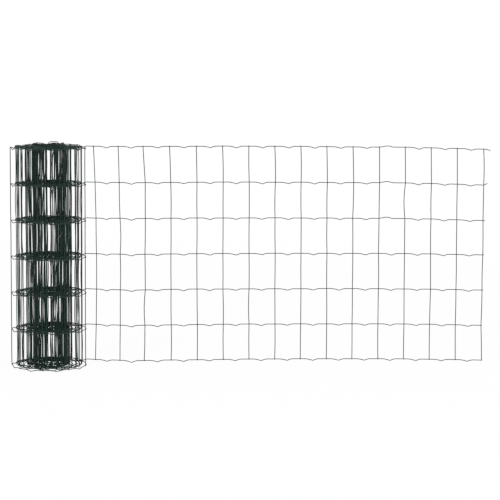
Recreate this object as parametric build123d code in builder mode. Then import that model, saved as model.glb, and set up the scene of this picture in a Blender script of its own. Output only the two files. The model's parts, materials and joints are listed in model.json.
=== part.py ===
"""Roll of plastic-coated welded wire fencing, stood on end with its free length drawn out.

The fencing is one web: line wires run along it, stay wires cross it, and every crossing is welded.
Millimetres, +Z up. The roll's axis is the Z axis, and the free length runs out along +X.
"""

import os
from math import atan2, ceil, cos, degrees, radians, sin

from build123d import *

# Welded web: wires of square section, as wide as the coated wire
wire_width = 2.2
line_spacing = 100.0
stay_spacing = 73.0
weld_sink = 0.5
stay_stub = 0.8

# Each line wire has one crimp midway between two stays, which keeps a stretched fence tight
crimp_depth = 5.0
crimp_half_width = 14.0

# Wound roll: rings on its ends show the turns, and beads round it show the outermost line wires
bore_radius = 34.0
roll_radius = 92.0
turn_count = 20
groove_width = 1.2

# Loose outer turn: from its seat on the roll it swings clear and goes clockwise round the roll
seat_gap = 0.3
turn_swing = 9.5
turn_start_angle = 39.6
turn_sweep_angle = 328.1
turn_ease_power = 12
turn_knot_count = 24

# Free length: it leads forward off the loose turn to a fold, and runs out from there in a shallow bow
fold_offset = 33.0
bow_radius = 7200.0
free_stay_count = 14
floor_gap = 0.2

# Cut ends of the line wires past the last stay, from the lowest wire to the highest
line_end_stubs = (1.5, 1.5, 3.0, 3.0, 3.5, 8.0, 19.0)

# Heights, from the floor that the roll stands on
crimp_slope = atan2(crimp_depth, crimp_half_width)
lowest_line = floor_gap + crimp_depth + wire_width / 2 / cos(crimp_slope)
line_heights = [lowest_line + line_spacing * line for line in range(len(line_end_stubs))]
stay_foot = line_heights[0] - wire_width / 2 - stay_stub
web_top = line_heights[-1] + wire_width / 2 + stay_stub

# Wound roll, turned
body_radius = roll_radius - wire_width
ring_width = (body_radius - bore_radius) / turn_count
groove_radii = [bore_radius + ring_width * turn for turn in range(1, turn_count)]
with BuildPart() as wound_roll:
    with BuildSketch(Plane.XZ):
        with Locations((bore_radius, 0)):
            Rectangle(body_radius - bore_radius, web_top, align=Align.MIN)
        with Locations(*[(body_radius, height) for height in line_heights]):
            Rectangle(wire_width, wire_width, align=(Align.MIN, Align.CENTER))
        with Locations(*[(radius, end) for radius in groove_radii for end in (0, web_top)]):
            RegularPolygon(groove_width / 2, 4, mode=Mode.SUBTRACT)
    revolve(axis=Axis.Z)
wound_roll.part.label = "wound_roll"


def turn_point(share):
    """Plan point of the loose turn, from its seat on the roll (0) to where it leaves (1)."""
    seat_radius = roll_radius + seat_gap + wire_width / 2
    radius = seat_radius + turn_swing * (1 - (1 - share) ** turn_ease_power)
    angle = radians(turn_start_angle - turn_sweep_angle * share)
    return Vector(radius * cos(angle), radius * sin(angle))


# Plan path of the web's middle. Its stays are set out from the seat, past a straight tail.
tail_length = stay_spacing / 2 - crimp_half_width
lead_angle = turn_sweep_angle - turn_start_angle - 270
with BuildLine() as plan:
    turn_knots = [turn_point(knot / turn_knot_count) for knot in range(turn_knot_count + 1)]
    turn = Spline(*turn_knots)
    lead = PolarLine(turn @ 1, ((turn @ 1).Y - fold_offset) / sin(radians(lead_angle)), -lead_angle)
    fold = turn.length + lead.length
    turn_stay_count = ceil((fold + crimp_half_width - tail_length) / stay_spacing)
    stay_count = turn_stay_count + free_stay_count
    stays = [tail_length + stay_spacing * stay for stay in range(stay_count)]
    bow_angle = (stays[-1] + wire_width / 2 - fold) / bow_radius
    bow_heading = (cos(bow_angle / 2), sin(bow_angle / 2))
    JernArc(lead @ 1, bow_heading, bow_radius, -degrees(bow_angle))
path = plan.wire()

# Bends of a line wire, as distance and dip: two shoulders and the foot of a crimp in each cell.
# Round the roll and beside the fold it bends at the stays too.
bends = [(0, 0)]
for stay in stays:
    if stay < turn.length or abs(stay - fold) < tail_length:
        bends.append((stay, 0))
    if stay < stays[-1]:
        middle = stay + stay_spacing / 2
        bends += [(middle - crimp_half_width, 0), (middle, crimp_depth), (middle + crimp_half_width, 0)]
bends.append((path.length, 0))

# One line wire, at zero height
with BuildPart() as line_wire:
    with BuildLine() as route:
        plan_points = [path.position_at(distance, PositionMode.LENGTH) for distance, _ in bends]
        Polyline(*[point - (0, 0, dip) for point, (_, dip) in zip(plan_points, bends)])
    route_wire = route.wire()
    with BuildSketch(Plane(origin=route_wire @ 0, x_dir=(0, 0, 1), z_dir=route_wire % 0)):
        Rectangle(wire_width, wire_width)
    sweep(path=route_wire, transition=Transition.RIGHT)

with BuildPart() as line_ends:
    for height, stub in zip(line_heights, line_end_stubs):
        with BuildSketch(Plane(origin=path @ 1, x_dir=(0, 0, 1), z_dir=path % 1)):
            with Locations((height, 0)):
                Rectangle(wire_width, wire_width)
        extrude(amount=stub)

# Whole web, with the stays welded to the outer side of the line wires
with BuildPart() as web:
    with Locations(*[(0, 0, height) for height in line_heights]):
        add(line_wire.part)
    add(line_ends.part)
    for stay in stays:
        crossing = path.position_at(stay, PositionMode.LENGTH) + (0, 0, stay_foot)
        heading = path.tangent_at(stay, PositionMode.LENGTH)
        with BuildSketch(Plane(origin=crossing, x_dir=heading, z_dir=(0, 0, 1))):
            with Locations((0, wire_width - weld_sink)):
                Rectangle(wire_width, wire_width)
    extrude(amount=web_top - stay_foot)

# The loose turn ends, and the free length starts, at the first stay past the fold
parting = stays[turn_stay_count] - wire_width / 2
parting_point = path.position_at(parting, PositionMode.LENGTH)
parting_plane = Plane(origin=parting_point, z_dir=path.tangent_at(parting, PositionMode.LENGTH))
with BuildPart() as loose_turn:
    add(web.part)
    split(bisect_by=parting_plane, keep=Keep.BOTTOM)
loose_turn.part.label = "loose_turn"

with BuildPart() as free_length:
    add(web.part)
    split(bisect_by=parting_plane, keep=Keep.TOP)
free_length.part.label = "free_length"

os.makedirs("parts", exist_ok=True)
for piece in (wound_roll, loose_turn, free_length):
    export_step(piece.part, f"parts/{piece.part.label}.step")
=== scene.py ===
"""Roll of plastic-coated welded wire fencing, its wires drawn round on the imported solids.

Metres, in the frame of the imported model: the roll's axis is the Z axis, and the free length runs
along +X. The fencing is one web. Places on it are distances along its middle, from the seat where the
loose turn leaves the roll: below zero they lie in the roll, above zero on the loose turn and the free
length.
"""

import json
from bisect import bisect_right
from itertools import accumulate
from math import cos, exp, floor, pi, radians, sin, tan
from random import Random

import bmesh
import bpy
from bpy.props import FloatProperty, FloatVectorProperty, IntProperty, PointerProperty
from mathutils import Matrix, Vector


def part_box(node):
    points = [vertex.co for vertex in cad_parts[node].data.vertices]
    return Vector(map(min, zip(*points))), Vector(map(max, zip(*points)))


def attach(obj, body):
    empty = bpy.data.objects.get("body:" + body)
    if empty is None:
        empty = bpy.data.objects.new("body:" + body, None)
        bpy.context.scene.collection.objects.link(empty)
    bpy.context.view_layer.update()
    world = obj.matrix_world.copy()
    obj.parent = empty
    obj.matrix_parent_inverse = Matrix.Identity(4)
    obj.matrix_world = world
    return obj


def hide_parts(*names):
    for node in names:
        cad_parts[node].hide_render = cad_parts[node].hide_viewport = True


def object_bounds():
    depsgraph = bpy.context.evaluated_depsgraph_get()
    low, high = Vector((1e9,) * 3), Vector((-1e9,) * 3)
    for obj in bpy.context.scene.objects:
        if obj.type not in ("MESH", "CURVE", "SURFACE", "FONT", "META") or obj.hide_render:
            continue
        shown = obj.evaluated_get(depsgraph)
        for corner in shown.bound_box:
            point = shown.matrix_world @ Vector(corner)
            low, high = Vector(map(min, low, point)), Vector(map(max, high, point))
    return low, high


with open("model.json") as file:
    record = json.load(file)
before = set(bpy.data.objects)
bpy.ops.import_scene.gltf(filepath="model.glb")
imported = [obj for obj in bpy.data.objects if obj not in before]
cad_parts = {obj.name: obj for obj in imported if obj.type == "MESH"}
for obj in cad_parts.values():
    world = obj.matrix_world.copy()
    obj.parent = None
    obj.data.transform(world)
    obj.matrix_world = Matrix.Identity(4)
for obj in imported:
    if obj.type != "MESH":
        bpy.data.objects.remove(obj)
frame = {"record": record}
cad_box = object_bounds()

bl_info = {
    "name": "Wire fencing roll",
    "version": (1, 0, 0),
    "blender": (4, 5, 0),
    "location": "View3D > Sidebar > Fencing",
    "description": "Draws a packed roll of welded fencing in round coated wire, on a plain stage",
    "category": "Mesh",
}

MM = 0.001

_, roll_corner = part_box("wound_roll")
roll_radius, roll_height = roll_corner.x, roll_corner.z
bore = next(mount for mount in frame["record"]["mounts"] if mount["name"] == "roll_bore")
bore_radius = bore["dims"]["r_mm"] * MM


def linear_colour(hex_colour):
    """Linear RGB of an sRGB hex colour."""
    channels = [int(hex_colour[digit:digit + 2], 16) / 255 for digit in (0, 2, 4)]
    return [c / 12.92 if c <= 0.04045 else ((c + 0.055) / 1.055) ** 2.4 for c in channels]


def number(name, description, default, **settings):
    """A property that holds a number."""
    return FloatProperty(name=name, description=description, default=default, **settings)


def count(name, description, default, least):
    """A property that holds a count."""
    return IntProperty(name=name, description=description, default=default, min=least)


def length(name, description, default):
    """A property that holds a length in metres."""
    return number(name, description, default, unit="LENGTH", precision=5)


def angle(name, description, default):
    """A property that holds an angle, its default given in degrees."""
    return number(name, description, radians(default), subtype="ANGLE")


def colour(name, description, default):
    """A property that holds a colour, its default given as sRGB hex."""
    return FloatVectorProperty(
        name=name, description=description, default=linear_colour(default), subtype="COLOR", min=0, max=1
    )


class FencingWeb(bpy.types.PropertyGroup):
    """Sizes of the welded web, wherever it lies."""

    wire_diameter: length("Stay wire", "Diameter of the coated stays", 2.2 * MM)
    line_diameter: length("Line wire", "Diameter of the coated line wires", 2.05 * MM)
    coat_thickness: length("Coat", "Thickness of the plastic coat", 0.25 * MM)
    line_count: count("Line wires", "Number of line wires", 7, least=2)
    line_spacing: length("Line spacing", "Between neighbouring line wires", 100 * MM)
    stay_spacing: length("Stay spacing", "Between neighbouring stay wires", 73 * MM)
    crimp_depth: length("Crimp depth", "Dip of a line wire midway between two stays", 5 * MM)
    crimp_lead: length("Crimp lead", "From a crimp's first shoulder to its foot", 21 * MM)
    crimp_trail: length("Crimp trail", "From a crimp's foot to its last shoulder", 14 * MM)
    crimp_least: number("Least crimp", "Share of the depth that each crimp has", 0.75)
    weld_sink: length("Weld sink", "How far the weld sinks a stay into a line wire", 0.5 * MM)
    weld_radius: length("Weld radius", "Radius of the coat round a weld", 1.62 * MM)
    stay_stub: length("Stay stub", "How far a stay ends past the outermost line wires", 0.8 * MM)
    tail: length("Tail", "From the seat to the first stay of the loose turn", 22.5 * MM)
    line_jitter: length("Line jitter", "Most that a weld lies off its even height", 0.8 * MM)


class FencingRoll(bpy.types.PropertyGroup):
    """How the web is wound."""

    seat_gap: length("Seat gap", "From the roll to the middle of the line wires at the seat", 0.3 * MM)
    seat_angle: angle("Seat angle", "Where the loose turn leaves the roll", 39.6)
    sprung_turns: number("Sprung turns", "Outer turns that have sprung out", 4.166)
    sprung_radius: length("Sprung radius", "Where the sprung turns end inwards", 81.5 * MM)
    slack_turns: number("Slack turns", "Turns from there in to the core", 2.411)
    core_radius: length("Core radius", "Outside of the tight core", 57.94 * MM)
    core_turns: number("Core turns", "Turns of the tight core", 16.0)
    core_ease: number("Core ease", "Below 1, the core is tightest at the bore", 0.828)
    bore_gap: length("Bore gap", "From the bore to the middle of the innermost line wires", 2.93 * MM)
    lopsided: length("Lopsided", "How far the turns lie off the axis", 1.5 * MM)
    lopsided_angle: angle("Lopsided angle", "Turns the lopsided side round", 322.5)
    inner_slide: length("Inner slide", "How far the innermost turn has slid up", 13.5 * MM)
    slide_ease: number("Slide ease", "Below 1, the core slides early", 0.8)
    inner_tilt: length("Inner tilt", "How far the innermost turn stands up in front", 2.5 * MM)
    core_wave: length("Core wave", "Length of web over which the core's slide comes and goes", 190 * MM)
    turn_slide: length("Turn slide", "How far neighbouring turns have slid past one another", 2.6 * MM)
    slide_wave: length("Slide wave", "Length of web over which that sliding comes and goes", 310 * MM)
    crimp_spring: length("Crimp spring", "How far one crimp has sprung up out of the roll", 9.2 * MM)
    stay_sway: length("Stay sway", "Usual shift of a stay at its welds", 0.7 * MM)
    stay_bow: length("Stay bow", "Usual bow of a stay between two welds", 1.5 * MM)


class FencingFreeLength(bpy.types.PropertyGroup):
    """How the loose turn and the free length lie."""

    turn_swing: length("Turn swing", "How far the loose turn swings clear of its seat", 10.6 * MM)
    turn_sweep: angle("Turn sweep", "How far the loose turn goes round", 328.1)
    turn_ease: number("Turn ease", "How soon the turn swings clear", 12, min=1)
    fold_offset: length("Fold offset", "From the roll's axis back to the fold", 33 * MM)
    fold_radius: length("Fold radius", "Radius that the wires bend round at the fold", 25 * MM)
    fold_bow: length("Fold bow", "Bow of the stays beside the fold", 5 * MM)
    fold_reach: length("Fold reach", "Length of web past the fold's first stay that bows", 130 * MM)
    bow_radius: length("Bow radius", "Radius of the shallow bow", 7.2)
    turn_stays: count("Turn stays", "Stays before the free length", 11, least=1)
    lead_stays: count("Lead stays", "Stays from the turn to the fold", 2, least=0)
    free_stays: count("Free stays", "Stays of the free length", 14, least=1)
    rise: length("Rise", "How far the free length rides up between its ends", 2.7 * MM)
    lean: angle("Lean", "Lean of the stays along the free length", -0.3)
    top_shift: length("Top shift", "How far the stays' tops are bent back along the web", 1.6 * MM)
    end_droop: length("End droop", "How far the upper line wires hang down at the last stay", 2.75 * MM)
    stay_sway: length("Stay sway", "Usual shift of a stay at its welds", 0.4 * MM)
    stay_bow: length("Stay bow", "Usual bow of a stay between two welds", 0.45 * MM)


class FencingFinish(bpy.types.PropertyGroup):
    """Colours of the wire and of the stage."""

    coat: colour("Coat", "Plastic coat of the wire", "182924")
    coat_pale: colour("Pale coat", "Plastic coat where it is thin or rubbed", "243933")
    steel: colour("Steel", "Core of the wire at its cut ends", "9a9c9d")
    stage: colour("Stage", "Floor that the roll stands on", "f4f4f4")


class FencingStage(bpy.types.PropertyGroup):
    """Camera and light."""

    camera_place: FloatVectorProperty(
        name="Camera",
        description="Place of the camera",
        default=(0.2803, -4.8702, 0.8793),
        subtype="TRANSLATION",
    )
    camera_pan: angle("Pan", "Turn of the camera to its right, from straight along Y", 3.2131)
    camera_tilt: angle("Tilt", "Turn of the camera downwards", 6.4868)
    camera_roll: angle("Roll", "Turn of the camera about its line of sight", 0.3865)
    lens: number("Lens", "Focal length", 127.53, unit="CAMERA")
    sky: number("Sky", "Even light from all round", 0.62, min=0)
    key_power: number("Key", "Power of the key light", 70, min=0, unit="POWER")
    fill_power: number("Fill", "Power of the fill light", 35, min=0, unit="POWER")


class PlanLine:
    """The web's middle in plan, followed by distance from the seat."""

    def __init__(self, wound_points, loose_points):
        self.points = wound_points + loose_points[1:]
        steps = [(after - before).length for before, after in zip(self.points, self.points[1:])]
        marks = list(accumulate(steps, initial=0))
        self.wound_length = marks[len(wound_points) - 1]
        self.marks = [mark - self.wound_length for mark in marks]

    def at(self, distance):
        """Plan point and heading at a distance. Past the ends the line runs straight on."""
        step = min(max(bisect_right(self.marks, distance), 1), len(self.points) - 1)
        start = self.points[step - 1]
        heading = (self.points[step] - start).normalized()
        return start + heading * (distance - self.marks[step - 1]), heading


def wound_points(roll):
    """Plan points of the wound turns, from the innermost out to the seat."""
    steps_per_turn = 90
    inner_radius = bore_radius + roll.bore_gap
    seat_radius = roll_radius + roll.seat_gap
    stages = (
        (roll.core_turns, inner_radius, roll.core_radius, roll.core_ease),
        (roll.slack_turns, roll.core_radius, roll.sprung_radius, 1),
        (roll.sprung_turns, roll.sprung_radius, seat_radius, 1),
    )
    points = []
    turns_left = sum(stage[0] for stage in stages)
    for turns, start_radius, end_radius, ease in stages:
        steps = round(turns * steps_per_turn)
        for step in range(steps):
            share = step / steps
            to_seat = turns_left - turns * share
            turn = roll.seat_angle + 2 * pi * to_seat
            radius = end_radius + (start_radius - end_radius) * (1 - share) ** ease
            radius += roll.lopsided * sin(turn + roll.lopsided_angle) * min(1, to_seat)
            points.append(Vector((radius * cos(turn), radius * sin(turn), 0)))
        turns_left -= turns
    points.append(Vector((seat_radius * cos(roll.seat_angle), seat_radius * sin(roll.seat_angle), 0)))
    return points


def loose_points(roll, free, web):
    """Plan points of the loose turn from its seat, the lead, the rounded fold and the bow."""
    turn_steps, fold_steps, bow_steps = 120, 6, 60
    seat_radius = roll_radius + roll.seat_gap
    points = []
    for step in range(turn_steps + 1):
        share = step / turn_steps
        radius = seat_radius + free.turn_swing * (1 - (1 - share) ** free.turn_ease)
        turn = roll.seat_angle - free.turn_sweep * share
        points.append(Vector((radius * cos(turn), radius * sin(turn), 0)))
    lead_heading = roll.seat_angle - free.turn_sweep + 3 * pi / 2
    lead = Vector((cos(lead_heading), sin(lead_heading), 0))
    fold = points[-1] + lead * ((free.fold_offset - points[-1].y) / lead.y)
    bow_length = web.stay_spacing * free.free_stays
    half_bow = bow_length / free.bow_radius / 2
    tangent = free.fold_radius * tan((half_bow - lead_heading) / 2)
    spot = fold - lead * tangent
    points.append(spot)

    def follow(spot, heading, turned, run, steps):
        """Adds points of an arc, and gives its end and the heading there."""
        for _ in range(steps):
            heading += turned / steps / 2
            spot = spot + Vector((cos(heading), sin(heading), 0)) * (run / steps)
            heading += turned / steps / 2
            points.append(spot)
        return spot, heading

    fold_turn = half_bow - lead_heading
    spot, heading = follow(spot, lead_heading, fold_turn, free.fold_radius * fold_turn, fold_steps)
    follow(spot, heading, -2 * half_bow, bow_length, bow_steps)
    return points


class Web:
    """Where each wire of the web runs. Its random draws are seeded, so that it is alike each time."""

    # Samples of a line wire along a crimp, as shares of its lead and of its trail
    crimp_shares = (-1, -0.6, -0.3, 0, 0.3, 0.6, 1)
    # Samples of a stay between two welds, as shares of that span
    span_shares = (0, 0.25, 0.5, 0.75)
    # How pointed a crimp is: 1 makes straight flanks
    crimp_power = 1.4
    # Cut ends past the last stay, from the lowest line wire up: how far, and the bend upwards
    end_stubs = (1.5 * MM, 1.5 * MM, 3 * MM, 3 * MM, 3.5 * MM, 8 * MM, 14.5 * MM)
    end_bends = (0, 0, 0, 0, 0, 4 * MM, -3 * MM)
    # Line wires that arch up where a crimp should be, by their cell, counted along the web from the seat
    arched = {20: (4, 5, 6)}
    # An arch: its height as a share of a crimp's depth, the share of the cell it spans, and its skew
    arch_height, arch_span, arch_skew = 0.7, 0.47, 1.35
    # The cell and line wire of the one crimp that has sprung out of the roll, and how steep its flanks are
    sprung_crimp = (-63, 6)
    spring_flank = 2.5
    # Cells from the seat before the turns slide in full, and the least share of that slide, in the core
    settle_cells, least_slide = 4, 0.3
    # How flat the free length rides between its ends, and how close to the last stay the droop is
    rise_power, droop_power = 4, 8
    # Stays given their own bow: how far along the web, above which line wire
    bowed_stays = {(10, 3): 2 * MM, (11, 1): -2 * MM, (21, 4): -3 * MM, (24, 5): 1.5 * MM}
    # Stays given their own bends: how far along the web they are off at each of some line wires
    bent_stays = {
        11: {0: -2.4 * MM, 1: -1.2 * MM, 4: 2 * MM, 5: 2 * MM, 6: -2 * MM},
        12: {6: -1 * MM},
        21: {4: -0.6 * MM, 5: -0.6 * MM},
        24: {0: 2.5 * MM},
    }

    def __init__(self, scene):
        self.sizes = scene.fencing_web
        self.roll = scene.fencing_roll
        self.free = scene.fencing_free_length
        self.plan = PlanLine(wound_points(self.roll), loose_points(self.roll, self.free, self.sizes))
        sizes = self.sizes
        top_line = roll_height - sizes.stay_stub - sizes.wire_diameter / 2
        lowest = top_line - sizes.line_spacing * (sizes.line_count - 1)
        self.line_heights = [lowest + sizes.line_spacing * line for line in range(sizes.line_count)]
        self.first_stay = -floor((self.plan.wound_length + sizes.tail) / sizes.stay_spacing)
        self.last_stay = self.free.turn_stays + self.free.free_stays - 1
        self.parting = self.stay_distance(self.free.turn_stays) - sizes.wire_diameter / 2

    def stay_distance(self, stay):
        """Distance of a stay along the web."""
        return self.sizes.tail + self.sizes.stay_spacing * stay

    def lift(self, distance):
        """How far the whole web lies above its lowest place."""
        roll, free = self.roll, self.free
        if distance < 0:
            point, _ = self.plan.at(distance)
            radius = point.length
            settled = min(1, -distance / self.sizes.stay_spacing / self.settle_cells)
            loose = (radius - roll.core_radius) / (roll.sprung_radius - roll.core_radius)
            loose = min(1, max(self.least_slide, loose))
            slide = roll.turn_slide * (1 + sin(2 * pi * distance / roll.slide_wave)) * loose
            deep = (roll.core_radius - radius) / (roll.core_radius - bore_radius)
            tilt = -roll.inner_tilt * point.y / radius
            weave = (1 + sin(2 * pi * distance / roll.core_wave)) / 2
            return (roll.inner_slide + tilt) * max(deep, 0) ** roll.slide_ease * weave + slide * settled
        start = self.stay_distance(free.turn_stays - free.lead_stays)
        share = (distance - start) / (self.stay_distance(self.last_stay) - start)
        return free.rise * (1 - (2 * min(max(share, 0), 1) - 1) ** self.rise_power)

    def jitter(self, line, stay):
        """How far one weld lies above its even height."""
        lines = self.sizes.line_count
        share = max(stay, 0) / self.last_stay
        droop = self.free.end_droop * share ** self.droop_power if line > lines // 2 else 0
        return Random(stay * lines + line).uniform(0, self.sizes.line_jitter) - droop

    def line_point(self, line, distance):
        """Point of a line wire at a distance along the web."""
        sizes = self.sizes
        cells = (distance - sizes.tail) / sizes.stay_spacing
        cell = floor(cells)
        across = (cells - cell - 0.5) * sizes.stay_spacing
        across /= sizes.crimp_lead if across < 0 else sizes.crimp_trail
        flank = 1 - abs(across)
        low, high = self.jitter(line, cell), self.jitter(line, cell + 1)
        height = self.line_heights[line] + low + (high - low) * (cells - cell) + self.lift(distance)
        end = distance - self.stay_distance(self.last_stay)
        if end > 0:
            height += self.end_bends[line] * (end / self.end_stubs[line]) ** 2
        elif line in self.arched.get(cell, ()):
            run = min(1, (cells - cell) / self.arch_span)
            height += self.arch_height * sizes.crimp_depth * sin(pi * run ** self.arch_skew)
        elif flank > 0 and (cell, line) == self.sprung_crimp:
            height += self.roll.crimp_spring * min(1, self.spring_flank * flank)
        elif flank > 0 and cell >= self.first_stay:
            share = Random(-cell * sizes.line_count - line).uniform(sizes.crimp_least, 1)
            height -= share * sizes.crimp_depth * flank ** self.crimp_power
        point, _ = self.plan.at(distance)
        return point + Vector((0, 0, height))

    def line_wire(self, line, start, end):
        """Points of a line wire between two distances."""
        sizes = self.sizes
        distances = [start]
        first = floor((start - sizes.tail) / sizes.stay_spacing)
        last = floor((end - sizes.tail) / sizes.stay_spacing)
        for cell in range(first, last + 1):
            stay = self.stay_distance(cell)
            middle = stay + sizes.stay_spacing / 2
            crimp = [
                middle + share * (sizes.crimp_lead if share < 0 else sizes.crimp_trail)
                for share in self.crimp_shares
            ]
            after = stay + sizes.stay_spacing
            distances += [stay, (stay + crimp[0]) / 2, *crimp, (crimp[-1] + after) / 2]
        least_step = 0.5 * MM
        inside = [d for d in distances if start + least_step < d < end - least_step]
        return [self.line_point(line, distance) for distance in (start, *inside, end)]

    def stay_wire(self, stay):
        """Points of a stay from its foot to its top, and the points of its welds."""
        sizes, free = self.sizes, self.free
        distance = self.stay_distance(stay)
        point, heading = self.plan.at(distance)
        outward = Vector((-heading.y, heading.x, 0))
        habits = self.roll if stay < 0 else free
        draw = Random(stay)
        bends = self.bent_stays.get(stay, {})
        lines = range(sizes.line_count)
        sways = [draw.gauss(0, habits.stay_sway) + bends.get(line, 0) for line in lines]
        spans = [(draw.gauss(0, habits.stay_bow), draw.gauss(0, habits.stay_bow / 2)) for _ in lines[1:]]
        lift = self.lift(distance)
        heights = [z + lift + self.jitter(line, stay) for line, z in enumerate(self.line_heights)]
        middle = (heights[0] + heights[-1]) / 2
        reach = (heights[-1] - heights[0]) / 2
        lead_start = self.stay_distance(free.turn_stays - free.lead_stays)
        past_turn = distance - lead_start + sizes.stay_spacing / 2
        shape_bow = free.fold_bow * exp(-((past_turn / free.fold_reach) ** 2)) if past_turn > 0 else 0
        lean = tan(free.lean) if past_turn > 0 else 0
        sways[-1] -= free.top_shift if past_turn > 0 else 0
        off = sizes.wire_diameter - sizes.weld_sink

        def place(along, out, height):
            share = (height - middle) / reach
            along += shape_bow * (1 - share ** 2) + lean * (height - middle)
            return point + heading * along + outward * (off + out) + Vector((0, 0, height))

        past = sizes.wire_diameter / 2 + sizes.stay_stub
        points = [place(sways[0], 0, heights[0] - past)]
        for span, (bow, bulge) in enumerate(spans):
            bow += self.bowed_stays.get((stay, span), 0)
            for share in self.span_shares:
                along = sways[span] + (sways[span + 1] - sways[span]) * share + bow * sin(pi * share)
                height = heights[span] + (heights[span + 1] - heights[span]) * share
                points.append(place(along, bulge * sin(pi * share), height))
        points += [place(sways[-1], 0, heights[-1]), place(sways[-1], 0, heights[-1] + past)]
        welds = [place(sway, -off / 2, height) for sway, height in zip(sways, heights)]
        return points, welds


def add_wires(bm, lines, diameter):
    """Adds round wires along lines of points to a mesh."""
    curve = bpy.data.curves.new("wire_lines", "CURVE")
    curve.dimensions = "3D"
    curve.bevel_depth = diameter / 2
    curve.bevel_resolution = 2
    curve.use_fill_caps = True
    for line in lines:
        spline = curve.splines.new("POLY")
        spline.points.add(len(line) - 1)
        spline.points.foreach_set("co", [value for point in line for value in (*point, 1)])
    holder = bpy.data.objects.new("wire_lines", curve)
    mesh = bpy.data.meshes.new_from_object(holder)
    bm.from_mesh(mesh)
    bpy.data.objects.remove(holder)
    bpy.data.curves.remove(curve)
    bpy.data.meshes.remove(mesh)


def weld_lumps(radius):
    """Node group that sets a lump of coat on each vertex."""
    tree = bpy.data.node_groups.new("weld_lumps", "GeometryNodeTree")
    for way in ("INPUT", "OUTPUT"):
        tree.interface.new_socket("Geometry", in_out=way, socket_type="NodeSocketGeometry")
    welds = add_node(tree, "NodeGroupInput", {}).outputs["Geometry"]
    lump = add_node(tree, "GeometryNodeMeshUVSphere", {"Segments": 8, "Rings": 5, "Radius": radius})
    placed = add_node(
        tree, "GeometryNodeInstanceOnPoints", {"Points": welds, "Instance": lump.outputs["Mesh"]}
    )
    joined = add_node(tree, "GeometryNodeRealizeInstances", {"Geometry": placed.outputs["Instances"]})
    add_node(tree, "NodeGroupOutput", {"Geometry": joined.outputs["Geometry"]})
    return tree


def add_welds(context, bm, welds, radius):
    """Adds the lump of coat round each weld to a mesh."""
    spots = bmesh.new()
    for weld in welds:
        spots.verts.new(weld)
    mesh = bpy.data.meshes.new("welds")
    spots.to_mesh(mesh)
    spots.free()
    holder = bpy.data.objects.new("welds", mesh)
    context.scene.collection.objects.link(holder)
    holder.modifiers.new("lumps", "NODES").node_group = weld_lumps(radius)
    lumps = bpy.data.meshes.new_from_object(holder.evaluated_get(context.evaluated_depsgraph_get()))
    bm.from_mesh(lumps)
    bpy.data.objects.remove(holder)
    bpy.data.meshes.remove(mesh)
    bpy.data.meshes.remove(lumps)


def make_piece(context, name, node, lines, stays):
    """Makes one piece of the web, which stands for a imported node."""
    web = context.scene.fencing_web
    bm = bmesh.new()
    add_wires(bm, lines, web.line_diameter)
    add_wires(bm, [points for points, _ in stays], web.wire_diameter)
    bmesh.ops.remove_doubles(bm, verts=bm.verts, dist=0.001 * MM)
    # The sides of a wire are all four-cornered, and the cut ends have more corners
    cut_ends = [face for face in bm.faces if len(face.verts) > 4]
    bmesh.ops.inset_individual(bm, faces=cut_ends, thickness=web.coat_thickness)
    for face in cut_ends:
        face.material_index = 1
    add_welds(context, bm, [weld for _, welds in stays for weld in welds], web.weld_radius)
    for face in bm.faces:
        face.smooth = face.material_index == 0
    bmesh.ops.recalc_face_normals(bm, faces=bm.faces)
    mesh = bpy.data.meshes.new(name)
    bm.to_mesh(mesh)
    bm.free()
    mesh.materials.append(coated_wire(context.scene.fencing_finish))
    mesh.materials.append(sheared_steel(context.scene.fencing_finish))
    piece = bpy.data.objects.new(name, mesh)
    context.scene.collection.objects.link(piece)
    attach(piece, "root")
    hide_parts(node)


def per_metre(millimetres):
    """Texture scale of a pattern whose features are that large."""
    return 1000 / millimetres


def add_node(tree, kind, inputs, **settings):
    """Adds a node with its settings. Its inputs are values, or the sockets that feed it."""
    node = tree.nodes.new(kind)
    for name, value in settings.items():
        setattr(node, name, value)
    for name, value in inputs.items():
        if isinstance(value, bpy.types.NodeSocket):
            tree.links.new(value, node.inputs[name])
        else:
            node.inputs[name].default_value = value
    return node


def new_material(name):
    """A new node material, or the one made before, with its tree and shader."""
    material = bpy.data.materials.get(name)
    made = material is not None
    if not made:
        material = bpy.data.materials.new(name)
        material.use_nodes = True
    return material, material.node_tree, material.node_tree.nodes["Principled BSDF"], made


def coated_wire(finish):
    """PVC coat, drawn over steel wire and set in an oven: dark green, satin, a little uneven."""
    material, tree, shader, made = new_material("pvc_coated_wire")
    if made:
        return material
    place = add_node(tree, "ShaderNodeTexCoord", {}).outputs["Object"]
    # Thick and thin stretches of the coat, a few centimetres long
    clouds = add_node(tree, "ShaderNodeTexNoise", {"Vector": place, "Scale": per_metre(35), "Detail": 3})
    shade = add_node(
        tree,
        "ShaderNodeMapRange",
        {"Value": clouds.outputs["Fac"], "From Min": 0.35, "From Max": 0.7},
    )
    tone = add_node(
        tree,
        "ShaderNodeMix",
        {0: shade.outputs["Result"], 6: (*finish.coat, 1), 7: (*finish.coat_pale, 1)},
        data_type="RGBA",
    )
    # Orange peel of the coat, drawn at twice its real size so that it shows
    peel = add_node(tree, "ShaderNodeTexNoise", {"Vector": place, "Scale": per_metre(1.6), "Detail": 2})
    bump = add_node(
        tree,
        "ShaderNodeBump",
        {"Height": peel.outputs["Fac"], "Strength": 0.25, "Distance": 0.15 * MM},
    )
    gloss = add_node(
        tree,
        "ShaderNodeMapRange",
        {"Value": peel.outputs["Fac"], "To Min": 0.4, "To Max": 0.6},
    )
    tree.links.new(tone.outputs[2], shader.inputs["Base Color"])
    tree.links.new(gloss.outputs["Result"], shader.inputs["Roughness"])
    tree.links.new(bump.outputs["Normal"], shader.inputs["Normal"])
    shader.inputs["IOR"].default_value = 1.53
    shader.inputs["Specular IOR Level"].default_value = 0.15
    return material


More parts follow.
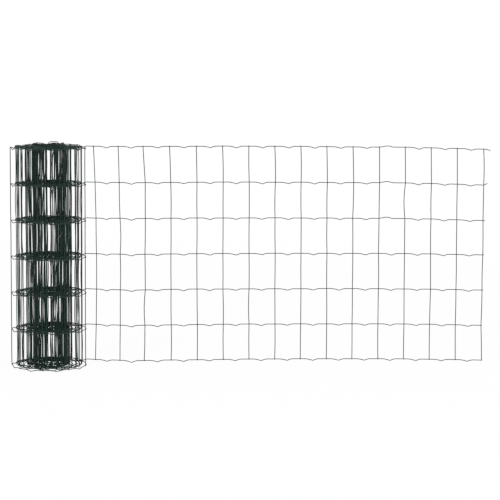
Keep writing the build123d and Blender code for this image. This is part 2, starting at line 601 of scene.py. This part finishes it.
def sheared_steel(finish):
    """Galvanised steel core, sheared: grey and half bright, scored across by the blade."""
    material, tree, shader, made = new_material("sheared_steel")
    if made:
        return material
    place = add_node(tree, "ShaderNodeTexCoord", {}).outputs["Object"]
    # Shear marks, drawn coarser than real ones so that they show
    marks = add_node(
        tree,
        "ShaderNodeTexWave",
        {"Vector": place, "Scale": per_metre(6), "Distortion": 2.0, "Detail": 2},
        bands_direction="DIAGONAL",
    )
    gloss = add_node(
        tree, "ShaderNodeMapRange", {"Value": marks.outputs["Fac"], "To Min": 0.35, "To Max": 0.6}
    )
    bump = add_node(
        tree, "ShaderNodeBump", {"Height": marks.outputs["Fac"], "Strength": 0.3, "Distance": 0.05 * MM}
    )
    tree.links.new(gloss.outputs["Result"], shader.inputs["Roughness"])
    tree.links.new(bump.outputs["Normal"], shader.inputs["Normal"])
    shader.inputs["Base Color"].default_value = (*finish.steel, 1)
    shader.inputs["Metallic"].default_value = 1
    return material


class FENCING_OT_wound_lines(bpy.types.Operator):
    """Draw the line wires of the wound roll"""

    bl_idname = "fencing.wound_lines"
    bl_label = "Wound Line Wires"

    def execute(self, context):
        web = Web(context.scene)
        start = web.stay_distance(web.first_stay) - web.sizes.wire_diameter
        lines = [web.line_wire(line, start, 0) for line in range(web.sizes.line_count)]
        make_piece(context, "roll_line_wires", "wound_roll", lines, [])
        return {"FINISHED"}


class FENCING_OT_wound_stays(bpy.types.Operator):
    """Draw the stay wires of the wound roll and their welds"""

    bl_idname = "fencing.wound_stays"
    bl_label = "Wound Stay Wires"

    def execute(self, context):
        web = Web(context.scene)
        stays = [web.stay_wire(stay) for stay in range(web.first_stay, 0)]
        make_piece(context, "roll_stay_wires", "wound_roll", [], stays)
        return {"FINISHED"}


class FENCING_OT_loose_turn(bpy.types.Operator):
    """Draw the loose turn of the web"""

    bl_idname = "fencing.loose_turn"
    bl_label = "Loose Turn"

    def execute(self, context):
        web = Web(context.scene)
        stays = [web.stay_wire(stay) for stay in range(web.free.turn_stays)]
        lines = [web.line_wire(line, 0, web.parting) for line in range(web.sizes.line_count)]
        make_piece(context, "loose_turn_web", "loose_turn", lines, stays)
        return {"FINISHED"}


class FENCING_OT_free_length(bpy.types.Operator):
    """Draw the free length of the web"""

    bl_idname = "fencing.free_length"
    bl_label = "Free Length"

    def execute(self, context):
        web = Web(context.scene)
        stays = [web.stay_wire(stay) for stay in range(web.free.turn_stays, web.last_stay + 1)]
        last = web.stay_distance(web.last_stay) + web.sizes.wire_diameter / 2
        stubs = enumerate(web.end_stubs)
        lines = [web.line_wire(line, web.parting, last + stub) for line, stub in stubs]
        make_piece(context, "free_length_web", "free_length", lines, stays)
        return {"FINISHED"}


def pale_floor(finish):
    """Plain pale studio floor, matt. It runs out to white, and keeps the shadow near the object."""
    material, tree, shader, _ = new_material("matt_studio_floor")
    shader.inputs["Base Color"].default_value = (*finish.stage, 1)
    shader.inputs["Roughness"].default_value = 0.9
    place = add_node(tree, "ShaderNodeTexCoord", {}).outputs["Object"]
    away = add_node(tree, "ShaderNodeVectorMath", {0: place}, operation="LENGTH").outputs["Value"]
    # How white the camera sees the floor, by its distance in metres from the roll's axis
    white = add_node(
        tree,
        "ShaderNodeMapRange",
        {"Value": away, "From Min": 1.2, "From Max": 4.0, "To Min": 0.95, "To Max": 1.0},
    )
    rays = add_node(tree, "ShaderNodeLightPath", {})
    seen = add_node(
        tree,
        "ShaderNodeMath",
        {0: rays.outputs["Is Camera Ray"], 1: white.outputs["Result"]},
        operation="MULTIPLY",
    )
    glow = add_node(tree, "ShaderNodeEmission", {"Strength": 1.0})
    mixed = add_node(
        tree,
        "ShaderNodeMixShader",
        {0: seen.outputs["Value"], 1: shader.outputs["BSDF"], 2: glow.outputs["Emission"]},
    )
    tree.links.new(mixed.outputs["Shader"], tree.nodes["Material Output"].inputs["Surface"])
    return material


class FENCING_OT_stage(bpy.types.Operator):
    """Set the floor, the light and the camera"""

    bl_idname = "fencing.stage"
    bl_label = "Stage"

    floor_radius = 12
    key_place = (-1.6, -2.6, 3.0)
    fill_place = (3.2, -2.0, 2.0)
    lamp_size = 2.0

    def execute(self, context):
        scene = context.scene
        stage = scene.fencing_stage
        bm = bmesh.new()
        bmesh.ops.create_circle(bm, cap_ends=True, segments=64, radius=self.floor_radius)
        mesh = bpy.data.meshes.new("floor")
        bm.to_mesh(mesh)
        bm.free()
        mesh.materials.append(pale_floor(scene.fencing_finish))
        ground = bpy.data.objects.new("floor", mesh)
        scene.collection.objects.link(ground)

        self.add_sky(scene, stage)
        self.add_lamp(scene, "key_light", stage.key_power, self.key_place)
        self.add_lamp(scene, "fill_light", stage.fill_power, self.fill_place)

        camera_data = bpy.data.cameras.new("camera")
        camera_data.lens = stage.lens
        camera_data.clip_end = 100
        camera = bpy.data.objects.new("camera", camera_data)
        pan = Matrix.Rotation(-stage.camera_pan, 4, "Z")
        tilt = Matrix.Rotation(pi / 2 - stage.camera_tilt, 4, "X")
        roll = Matrix.Rotation(stage.camera_roll, 4, "Z")
        camera.matrix_world = Matrix.Translation(stage.camera_place) @ (pan @ tilt @ roll)
        scene.collection.objects.link(camera)
        scene.camera = camera
        scene.view_settings.view_transform = "Standard"
        return {"FINISHED"}

    def add_sky(self, scene, stage):
        """Even light from all round, which the camera and mirror-like surfaces see as white."""
        world = bpy.data.worlds.new("studio")
        world.use_nodes = True
        scene.world = world
        tree = world.node_tree
        dim = tree.nodes["Background"]
        dim.inputs["Color"].default_value = (1, 1, 1, 1)
        dim.inputs["Strength"].default_value = stage.sky
        rays = add_node(tree, "ShaderNodeLightPath", {})
        seen = rays.outputs["Is Camera Ray"]
        for kind in ("Is Glossy Ray", "Is Transmission Ray"):
            seen = add_node(
                tree, "ShaderNodeMath", {0: seen, 1: rays.outputs[kind]}, operation="MAXIMUM"
            ).outputs["Value"]
        white = add_node(tree, "ShaderNodeBackground", {"Color": (1, 1, 1, 1), "Strength": 1.0})
        mixed = add_node(
            tree,
            "ShaderNodeMixShader",
            {0: seen, 1: dim.outputs["Background"], 2: white.outputs["Background"]},
        )
        tree.links.new(mixed.outputs["Shader"], tree.nodes["World Output"].inputs["Surface"])

    def add_lamp(self, scene, name, power, place):
        """A square soft light aimed at the middle of the object."""
        lamp = bpy.data.lights.new(name, "AREA")
        lamp.energy = power
        lamp.size = self.lamp_size
        holder = bpy.data.objects.new(name, lamp)
        middle = (cad_box[0] + cad_box[1]) / 2
        holder.location = place
        holder.rotation_euler = (middle - Vector(place)).to_track_quat("-Z", "Y").to_euler()
        scene.collection.objects.link(holder)


class FENCING_PT_sidebar(bpy.types.Panel):
    """Lists the steps in the order that they are run"""

    bl_idname = "FENCING_PT_sidebar"
    bl_label = "Wire Fencing Roll"
    bl_space_type = "VIEW_3D"
    bl_region_type = "UI"
    bl_category = "Fencing"

    def draw(self, context):
        for step in STEPS:
            self.layout.operator(step.bl_idname)
        for group, kind in GROUPS.items():
            self.layout.separator()
            for name in kind.__annotations__:
                self.layout.prop(getattr(context.scene, group), name)


GROUPS = {
    "fencing_web": FencingWeb,
    "fencing_roll": FencingRoll,
    "fencing_free_length": FencingFreeLength,
    "fencing_finish": FencingFinish,
    "fencing_stage": FencingStage,
}
STEPS = (
    FENCING_OT_wound_lines,
    FENCING_OT_wound_stays,
    FENCING_OT_loose_turn,
    FENCING_OT_free_length,
    FENCING_OT_stage,
)


def register():
    for kind in (*GROUPS.values(), *STEPS, FENCING_PT_sidebar):
        bpy.utils.register_class(kind)
    for name, kind in GROUPS.items():
        setattr(bpy.types.Scene, name, PointerProperty(type=kind))


def unregister():
    for name in GROUPS:
        delattr(bpy.types.Scene, name)
    for kind in (FENCING_PT_sidebar, *reversed(STEPS), *reversed(GROUPS.values())):
        bpy.utils.unregister_class(kind)


def main():
    register()
    bpy.ops.fencing.wound_lines()
    bpy.ops.fencing.wound_stays()
    bpy.ops.fencing.loose_turn()
    bpy.ops.fencing.free_length()
    bpy.ops.fencing.stage()


if __name__ == "__main__":
    main()
